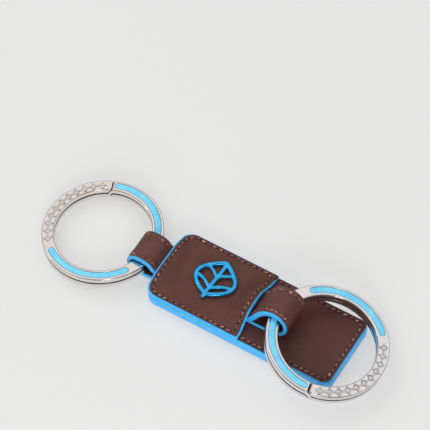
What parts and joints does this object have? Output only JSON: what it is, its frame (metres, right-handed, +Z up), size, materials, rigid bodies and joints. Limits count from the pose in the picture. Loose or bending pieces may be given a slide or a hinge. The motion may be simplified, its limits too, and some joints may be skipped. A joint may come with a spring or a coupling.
{
  "type": "leather key fob with two split rings",
  "caption": "Flat leather key fob with a wire leaf emblem and a flat split key ring held in a stitched leather loop at each end.",
  "frame": {"origin": "centre of the fob's flat underside, on the surface it lies on", "axes": "+X along the fob towards the ring that lies over the fob, +Y across the fob, +Z up out of the stitched front"},
  "size_m": [0.1087, 0.0363, 0.0145],
  "materials": {
    "leather": "smooth polished calf leather with fine grain",
    "board": "pressed leather board",
    "edge_paint": "satin edge paint",
    "thread": "waxed twisted thread",
    "ring_metal": "polished nickel plate",
    "enamel": "smooth filled enamel",
    "emblem": "glossy lacquered wire"
  },
  "bodies": {
    "fob": {"back_panel": "leather", "core_board": "board", "front_panel": "leather", "filler_board": "board", "top_panel": "leather", "base_edge_paint": "edge_paint", "top_panel_edge_paint": "edge_paint", "base_seam": "thread", "panel_seam": "thread", "emblem": "emblem", "left_strap_tail": "leather", "right_strap_tail": "leather"},
    "left_strap": {"left_strap_root": "leather", "left_strap_loop": "leather", "left_strap_near_paint": "edge_paint", "left_strap_far_paint": "edge_paint", "left_strap_near_seam": "thread", "left_strap_far_seam": "thread"},
    "left_ring": {"left_ring_coil": "ring_metal", "left_ring_enamel_a": "enamel", "left_ring_enamel_b": "enamel"},
    "right_strap": {"right_strap_root": "leather", "right_strap_loop": "leather", "right_strap_near_paint": "edge_paint", "right_strap_far_paint": "edge_paint", "right_strap_near_seam": "thread", "right_strap_far_seam": "thread"},
    "right_ring": {"right_ring_coil": "ring_metal", "right_ring_enamel_a": "enamel", "right_ring_enamel_b": "enamel"}
  },
  "joints": [
    {"name": "left_strap_flex", "type": "hinge", "parent": "fob", "child": "left_strap", "pos_m": [-0.03015, 0, 0.0032], "axis": [0, 1, 0], "range_deg": [-60, 75], "deforming": ["left_strap_root"]},
    {"name": "left_ring_spin", "type": "hinge", "parent": "left_strap", "child": "left_ring", "pos_m": [-0.05023, -0.0006, 0.00305], "axis": [-0.0659, 0, 0.9978], "continuous": true},
    {"name": "right_strap_flex", "type": "hinge", "parent": "fob", "child": "right_strap", "pos_m": [0.00025, 0, 0.0055], "axis": [0, -1, 0], "range_deg": [0, 90], "deforming": ["right_strap_root"]},
    {"name": "right_ring_spin", "type": "hinge", "parent": "right_strap", "child": "right_ring", "pos_m": [0.0234, -0.0019, 0.00698], "axis": [0.1875, 0.0295, 0.9818], "continuous": true}
  ]
}
